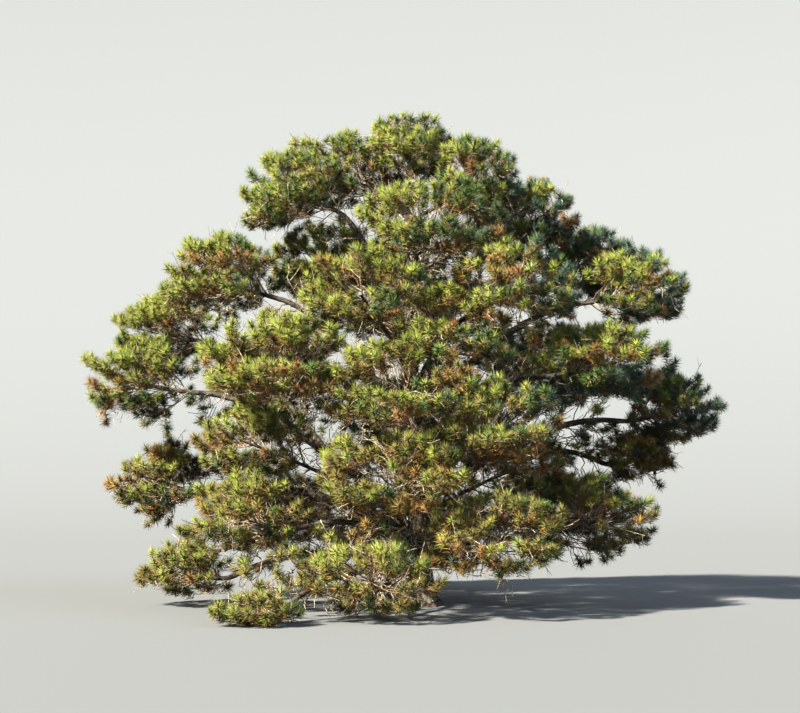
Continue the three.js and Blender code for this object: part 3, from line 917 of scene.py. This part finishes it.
def make_limb_bark(name, limbs, spacing, **bark):
    """All the boughs, or all the stems, as one piece, with a ring each so many metres."""
    parts = [barked_limb(limb, spacing, seed, **bark) for seed, limb in enumerate(limbs)]
    points, faces = joined([part[:2] for part in parts])
    skin = plated_bark(
        name.replace("_", " "),
        plate=rgb(0.1, 0.082, 0.07),
        furrow=rgb(0.028, 0.018, 0.012),
        lichen=rgb(0.16, 0.163, 0.142),
        fleck=0.7,
    )
    piece = make_piece(name, points, faces, skin)
    store_furrows(piece, np.concatenate([part[2] for part in parts]))
    return piece


def make_live_twigs(twigs, branches, shoots):
    parts = [
        twig_tubes(twigs, TWIG_RADIUS, 0.6 * TWIG_RADIUS, rings=6, crook=0.06),
        twig_tubes(branches, BRANCH_RADIUS, 0.7 * BRANCH_RADIUS, rings=3, crook=0.08),
        twig_tubes(shoots, SHOOT_RADIUS, 0.7 * SHOOT_RADIUS, rings=2),
    ]
    points, faces = joined(parts)
    bark = twig_bark("bark of the twigs", rgb(0.07, 0.045, 0.028), rgb(0.26, 0.185, 0.12))
    return make_piece("twigs", points, faces, bark)


def make_bare_twigs(on_limbs, side_twigs, twigs, branches):
    """The twigs on the limbs, and dead ones on these and on the live twigs."""
    branches = branches.pick(seeded(branches.seed, 47) < BRANCHES_WITH_BARE)
    second = together(
        side_twigs,
        bare_order(twigs, count=4, first=0.1, longest=0.3, spread=1.2, seed_step=2.9),
        bare_order(branches, count=1, first=0.1, longest=0.22, spread=1.2, seed_step=4.3),
    )
    bearing = second.pick(seeded(second.seed, 49) < BARE_WITH_BARE)
    third = bare_order(bearing, count=1, first=0.4, longest=0.14, spread=0.9, seed_step=5.3)
    parts = []
    for batch, form in zip((on_limbs, second, third), BARE_FORMS):
        kept = batch.pick(in_box(batch.tip) & (batch.tip[:, 2] > LOWEST_BARE))
        parts.append(twig_tubes(kept, *form))
    points, faces = joined(parts)
    bark = twig_bark("bark of the bare twigs", rgb(0.11, 0.088, 0.066), rgb(0.48, 0.415, 0.325))
    return make_piece("bare_twigs", points, faces, bark)


# Tints of the needles: name, darker colour and lighter colour. The light yellow-green tint is painted
# sunlight, and the dark green and blue-green tints are painted shade; green is the needles' plain
# colour, and olive, gold and rust are the colours of yellowing and dead needles.
TINTS = [
    ("painted_sunlit", rgb(0.11, 0.138, 0.021), rgb(0.216, 0.238, 0.046)),
    ("green", rgb(0.036, 0.07, 0.015), rgb(0.088, 0.132, 0.031)),
    ("deep", rgb(0.021, 0.037, 0.014), rgb(0.052, 0.078, 0.027)),
    ("blue", rgb(0.022, 0.045, 0.031), rgb(0.06, 0.098, 0.066)),
    ("olive", rgb(0.07, 0.07, 0.015), rgb(0.148, 0.14, 0.034)),
    ("gold", rgb(0.13, 0.085, 0.018), rgb(0.262, 0.176, 0.046)),
    ("rust", rgb(0.105, 0.047, 0.016), rgb(0.195, 0.094, 0.033)),
]
PAINTED_SUNLIT, GREEN, PAINTED_SHADE, PAINTED_BLUE_SHADE, OLIVE, GOLD, RUST = range(len(TINTS))
# Painted light: tufts that face this way get the painted sunlit tint, and tufts that face away get a
# painted shade tint
SUNNY_SIDE = unit(np.array([-0.62, -0.45, 0.64]))
LIT_BY_MASS = 0.6  # how a tuft faces the sun, which sets its painted light and shade: by its place in its mass, and in the crown
LIT_BY_CROWN = 0.4
SUN_SCATTER = 0.9
HIGH = 4.6  # tufts over this height are greener, with fewer yellowing and dead patches, and darker with painted shade
HIGH_PAINTED_SHADE = 0.38
LOW = 2.3  # tufts under this height are brighter with painted sunlight, and turn yellow
LOW_PAINTED_LIGHT = 0.2
PAINTED_SUNLIT_OVER = 0.2
PAINTED_SHADE_UNDER = -0.12
# Painted shade: tufts low in their mass get the dark tint
PAINTED_SHADE_LEVEL = -0.45
LEVEL_SCATTER = 0.4
PAINTED_BLUE_SHADE_UNDER = -0.05  # painted shade: shaded tufts on the right get a bluish tint, from some height
PAINTED_BLUE_SHADE_FROM = 1.2
PAINTED_BLUE_SHADE_ABOVE = 2.0
LAYER_SCATTER = 0.15
OLIVE_OVER = 0.92
OLIVE_IN_WORN = 0.35
OLIVE_LOW = 0.3
PATCH = np.array([0.36, 0.36, 0.3])  # size of the patches of tufts that may die back
PATCHES_IN_GREEN = 0.06  # share of them that do, in the upper part of a layer
PATCHES_IN_WORN = 0.52  # and in the lower part
PATCHES_IN_SHADE = 0.35  # as a share of those in the sun; fewer in the shade, so that it keeps its painted shade tints
PATCHES_NEAR_GROUND = 0.5
NEAR_GROUND = 1.1
DEAD_IN_GREEN = 0.01  # share of dead bundles in the upper part of a layer
DEAD_IN_WORN = 0.1  # and in the lower part
DEAD_LOW = 0.05  # and more in the low tufts
DEAD_IN_PATCH = 0.8
DEAD_LEAST = 0.4
DEAD_RANGE = 1.2


def dead_share(tips, worn, turning_or_painted_sunlit, seed):
    """The share of each tuft's bundles that are dead. Whole patches of tufts have died back."""
    low = tips[:, 2] < LOW
    patch = seeded(*np.floor(tips / PATCH).T)
    # Dead patches are fewer where a tuft is neither low nor sunlit, to keep the painted shade
    patches = np.where(turning_or_painted_sunlit, 1.0, PATCHES_IN_SHADE)
    patches = patches * np.where(tips[:, 2] < NEAR_GROUND, PATCHES_NEAR_GROUND, 1.0)
    patches = patches * np.where(worn, PATCHES_IN_WORN, PATCHES_IN_GREEN)
    dead = np.where(worn, DEAD_IN_WORN, DEAD_IN_GREEN) + DEAD_LOW * low
    dead = np.where(patch < patches, DEAD_IN_PATCH, dead)
    return dead * (DEAD_LEAST + DEAD_RANGE * seeded(seed, 13))


def tuft_tints(tips, owner, seed):
    """The tint of each tuft's live needles, and its share of dead ones. The live tint holds painted
    sunlight and painted shade, by how the tuft faces the sun and how low it lies in its mass.
    """
    spot = in_half_sizes(tips - MIDDLE[owner], owner)
    by_mass = dot(unit(tips - MIDDLE[owner]), SUNNY_SIDE)
    by_crown = dot(unit(tips - CROWN_HEART), SUNNY_SIDE)
    lit = LIT_BY_MASS * by_mass + LIT_BY_CROWN * by_crown
    high, low = tips[:, 2] > HIGH, tips[:, 2] < LOW
    sun = lit + SUN_SCATTER * (seeded(seed, 11) - 0.5) - HIGH_PAINTED_SHADE * high + LOW_PAINTED_LIGHT * low
    level = spot[:, 2] + LEVEL_SCATTER * (seeded(seed, 14) - 0.5)
    below = below_layer(tips, owner) + LAYER_SCATTER * (seeded(seed, 16) - 0.5)
    worn = below > LAYER_GREEN
    # Low tufts turn yellow; on the sunlit side the olive tint and the dead patches also go with the
    # painted sunlight
    turning_or_painted_sunlit = low | ((lit > 0) & ~high)
    # Painted shade, bluish, on the shaded tufts at the right
    blue = (sun < PAINTED_BLUE_SHADE_UNDER) & (tips[:, 0] > PAINTED_BLUE_SHADE_FROM) & (tips[:, 2] > PAINTED_BLUE_SHADE_ABOVE)
    olive = seeded(seed, 12) + OLIVE_IN_WORN * worn + OLIVE_LOW * low > OLIVE_OVER
    live = np.full(len(tips), GREEN)
    # Painted sunlight: the light tint where a tuft faces the sun
    live[sun > PAINTED_SUNLIT_OVER] = PAINTED_SUNLIT
    # Painted shade: the dark tint where a tuft faces away from the sun, and where it lies low in its
    # mass
    live[(sun < PAINTED_SHADE_UNDER) | (level < PAINTED_SHADE_LEVEL)] = PAINTED_SHADE
    live[blue] = PAINTED_BLUE_SHADE
    live[turning_or_painted_sunlit & olive] = OLIVE
    return live, dead_share(tips, worn, turning_or_painted_sunlit, seed)


def bundle_places():
    """For each bundle of a tuft: if it is old, its distance from the tip and its lean."""
    young = np.arange(YOUNG_BUNDLES) / YOUNG_BUNDLES
    old = np.arange(OLD_BUNDLES) / OLD_BUNDLES
    is_old = np.concatenate([young < 0, old >= 0])
    back = np.concatenate([YOUNG_STRETCH * young, OLD_START + OLD_STRETCH * old])
    lean = LEAN_AT_TIP + (LEAN_AT_FOOT - LEAN_AT_TIP) * young**LEAN_CURVE
    return is_old, back, np.concatenate([lean, np.full(OLD_BUNDLES, OLD_LEAN)])


def beside(ways, turn):
    """Unit vectors square to ways, turned about them."""
    first, second = sideways(ways)
    return first * column(np.cos(turn)) + second * column(np.sin(turn))


def make_tufts(shoots):
    """A round brush of bundles at the end of each shoot, and the old ones behind it.

    Gives, by tuft and bundle, the corners of the needles and the way that the bundle points.
    """
    _, back, lean = bundle_places()
    seed, j = column(shoots.seed), np.arange(len(back))
    along = shoots.along(1.0)
    ways = np.repeat(unit(along + UP * TUFT_LIFT)[:, None], len(j), axis=1)
    out = beside(ways, GOLDEN_ANGLE * j + 2 * np.pi * seeded(seed, 3))
    stray = np.stack([seeded(seed, j + 20.0 * (axis + 1)) - 0.5 for axis in range(3)], axis=-1)
    line = unit(ways * column(np.cos(lean)) + out * column(np.sin(lean)) + 2 * NEEDLE_STRAY * stray)
    foot = shoots.tip[:, None] - along[:, None] * column(back)
    size = NEEDLE_LENGTH * (1 + TUFT_SIZE_RANGE * (seeded(seed, 15) - 0.5))
    corners = []
    for m in range(NEEDLES_IN_BUNDLE):
        turn = 2 * np.pi * (m / NEEDLES_IN_BUNDLE + seeded(seed, j + 130.0))
        edge = beside(line, turn + np.pi / 2) * NEEDLE_WIDTH / 2
        way = unit(line + NEEDLE_SPLAY * beside(line, turn))
        length = size * (1 + NEEDLE_LENGTH_RANGE * (seeded(seed, j + 90.0, m) - 0.5))
        corners.append(np.stack([foot - edge, foot + edge, foot + way * column(length)], axis=2))
    corners = np.stack(corners, axis=2)
    corners[..., 2] = np.maximum(corners[..., 2], LOWEST_NEEDLE)
    return corners, np.broadcast_to(line[:, :, None, None], corners.shape)


def bundle_tints(shoots):
    """The tint of each bundle, by tuft and bundle: its tuft's, or gold or rust if it is dead."""
    is_old = bundle_places()[0]
    seed, j = column(shoots.seed), np.arange(len(is_old))
    live, dead = tuft_tints(shoots.tip, shoots.owner, shoots.seed)
    # Fewer dead old bundles on the right, so that its painted shade stays blue-green
    shaded = np.where(shoots.tip[:, 0] > SHADED_FROM, DEAD_OF_OLD_RIGHT, 1.0)
    of_old = DEAD_OF_OLD * column(shaded) * is_old
    pick = seeded(seed, j + 170.0) / (column(dead) + of_old)
    return np.where(pick < RUST_OF_DEAD, RUST, np.where(pick < 1, GOLD, column(live)))


def make_needle_pieces(shoots):
    corners, outward = make_tufts(shoots)
    tint = bundle_tints(shoots)
    pieces = []
    for number, (name, dark, light) in enumerate(TINTS):
        chosen = corners[tint == number].reshape(-1, 3, 3)
        ways = outward[tint == number].reshape(-1, 3, 3)
        skin = needle_skin(f"{name} needles", dark, light)
        for part in range(0, len(chosen), NEEDLES_IN_PIECE):
            some = chosen[part : part + NEEDLES_IN_PIECE]
            label = f"needles_{name}_{part // NEEDLES_IN_PIECE + 1}"
            faces = np.arange(3 * len(some)).reshape(-1, 3)
            pieces.append(make_piece(label, some.reshape(-1, 3), faces, skin))
            store_outward(pieces[-1], ways[part : part + NEEDLES_IN_PIECE])
    return pieces


def make_cones(branches):
    """Egg-shaped cones on the twigs, each with rows of scales."""
    chosen = branches.pick(seeded(branches.seed, 31) < CONES_ON_BRANCHES)
    rings, sides = 7, 8
    share = np.linspace(0, 1, rings)
    profile = CONE_RADIUS * np.sin(np.pi * share**0.75) ** 0.8
    scales = 1 + CONE_SCALE * ((np.arange(sides) + column(np.arange(rings))) % 2)
    parts = []
    for n in range(len(chosen)):
        one = chosen.pick([n])
        foot = one.at(CONE_PLACE)[0]
        scatter = seeded(n, np.arange(3.0)) - 0.5
        way = unit(one.along(CONE_PLACE)[0] * 0.3 - UP * 0.5 + scatter)
        first, second = sideways(way[None])
        ring = foot + way * column(share * CONE_LENGTH + CONE_STALK)
        points = ring[:, None] + spokes(first[0], second[0], sides) * column(scales * column(profile))
        parts.append((points.reshape(-1, 3), tube_faces(1, rings, sides)))
    points, faces = joined(parts)
    scale = twig_bark("scales of the cones", rgb(0.028, 0.016, 0.01), rgb(0.115, 0.077, 0.05))
    return make_piece("cones", points, faces, scale, smooth=False)


# Studio
def make_floor():
    """A pale floor that rises in a cove far behind the tree and to a low rim on the other sides."""
    shader = Shader("pale floor")
    far = shader.node("ShaderNodeSeparateXYZ", [shader.place(1, 1, 1)], output="Y")
    # Painted shade: a touch darker and cooler towards the far cove
    painted_cove_shade = shader.between(far, PAINTED_COVE_SHADE_FROM, PAINTED_COVE_SHADE_TO)
    colour = shader.mix(painted_cove_shade, rgb(0.12, 0.127, 0.137), rgb(0.116, 0.124, 0.137))
    material = shader.finish(Base_Color=colour, Roughness=0.95)
    turn = np.radians(np.linspace(0, 90, COVE_ROWS))
    front = np.linspace(-FLOOR_HALF, 0, FRONT_ROWS)
    back = COVE_DISTANCE + COVE_RADIUS
    depth = np.concatenate([front, COVE_DISTANCE + COVE_RADIUS * np.sin(turn), [back]])
    cove = np.concatenate([0 * front, COVE_RADIUS * (1 - np.cos(turn)), [COVE_HEIGHT]])
    side = np.linspace(-FLOOR_HALF, FLOOR_HALF, FLOOR_COLUMNS)
    rise = np.clip((np.hypot(side, column(depth)) - RIM_START) / (FLOOR_HALF - RIM_START), 0, 1)
    height = column(cove) + RIM_HEIGHT * rise**2
    points = np.stack(np.broadcast_arrays(side, column(depth), height), axis=-1).reshape(-1, 3)
    rows, columns = height.shape
    corner = column(columns * np.arange(rows - 1)) + np.arange(columns - 1)
    faces = column(corner.ravel()) + [0, 1, columns + 1, columns]
    make_piece("floor", points, faces, material)


def make_sun(name, strength, colour, angles, softness):
    data = bpy.data.lights.new(name, "SUN")
    data.energy, data.color = strength, colour
    data.angle = math.radians(softness)
    lamp = bpy.data.objects.new(name, data)
    lamp.rotation_euler = [math.radians(a) for a in angles]
    bpy.context.scene.collection.objects.link(lamp)


def make_studio():
    make_floor()
    make_sun("key", strength=20.5, colour=(1.0, 0.94, 0.79), angles=(54, 0, -47), softness=3)
    make_sun("fill", strength=1.9, colour=(0.72, 0.86, 1.0), angles=(60, 0, 60), softness=40)
    world = bpy.data.worlds.new("pale studio")
    world.use_nodes = True
    background = world.node_tree.nodes["Background"]
    background.inputs["Color"].default_value = rgb(0.62, 0.78, 1.0)
    background.inputs["Strength"].default_value = 0.32
    bpy.context.scene.world = world


def make_camera():
    """The view that the tree is known from: eye height, twenty metres off, tipped up a little."""
    data = bpy.data.cameras.new("camera")
    data.sensor_width, data.lens = SENSOR_WIDTH, LENS
    data.clip_end = FARTHEST_SEEN
    camera = bpy.data.objects.new("camera", data)
    camera.location = CAMERA_PLACE
    camera.rotation_euler = (math.radians(90 + CAMERA_TILT), 0, 0)
    bpy.context.scene.collection.objects.link(camera)
    bpy.context.scene.camera = camera
    view = bpy.context.scene.view_settings
    view.view_transform = "Standard"
    view.gamma = GAMMA
    view.exposure = EXPOSURE


make_camera()
make_studio()

boughs = {}
for i, row in enumerate(CROWN):
    if len(row) > COLUMNS_OF_MASS:
        boughs[row[0]] = make_bough(i, boughs)
stems = [make_stem(i, boughs) for i in range(len(CROWN))]
upper_trunk = Limb(trunk_axis(np.linspace(LOWEST_TRUNK_TWIG, TRUNK_HEIGHT, 4)))

twigs, branches, shoots = live_twigs(stems)
on_limbs = twigs_on_limbs([*boughs.values(), *stems, upper_trunk])
side_twigs = bare_order(on_limbs, count=4, first=0.25, longest=0.28, spread=0.9, seed_step=3.7)

leafy_twigs = leafy(together(twigs, branches, shoots))
tufted = together(leafy_twigs, tufts_on_limbs(on_limbs), tufts_in_gaps(side_twigs))
tufted = spaced(tufted.pick(in_box(tufted.tip)))
holds_tuft = np.isin(shoots.seed, tufted.seed)
shoots = shoots.pick(holds_tuft | (seeded(shoots.seed, 44) < BARE_SHOOTS))

trunk_bark = make_trunk()
bough_bark = make_limb_bark(
    "bark_boughs", boughs.values(), spacing=0.034, sides=16, cells=7, plate=0.06, depth=0.006
)
stem_bark = make_limb_bark(
    "bark_stems", stems, spacing=0.06, sides=10, cells=6, plate=0.05, depth=0.004
)
twig_piece = make_live_twigs(twigs, branches, shoots)
bare_piece = make_bare_twigs(on_limbs, side_twigs, twigs, branches)
cones = make_cones(branches)
needles = make_needle_pieces(tufted)

masses = [f"needles_{row[0]}" for row in CROWN]
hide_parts("trunk")
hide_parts(*(f"bough_{name}" for name in boughs))
for piece in [stem_bark, twig_piece, *needles]:
    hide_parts(*masses)
for piece in [trunk_bark, bough_bark, stem_bark, twig_piece, bare_piece, cones, *needles]:
    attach(piece, "root")
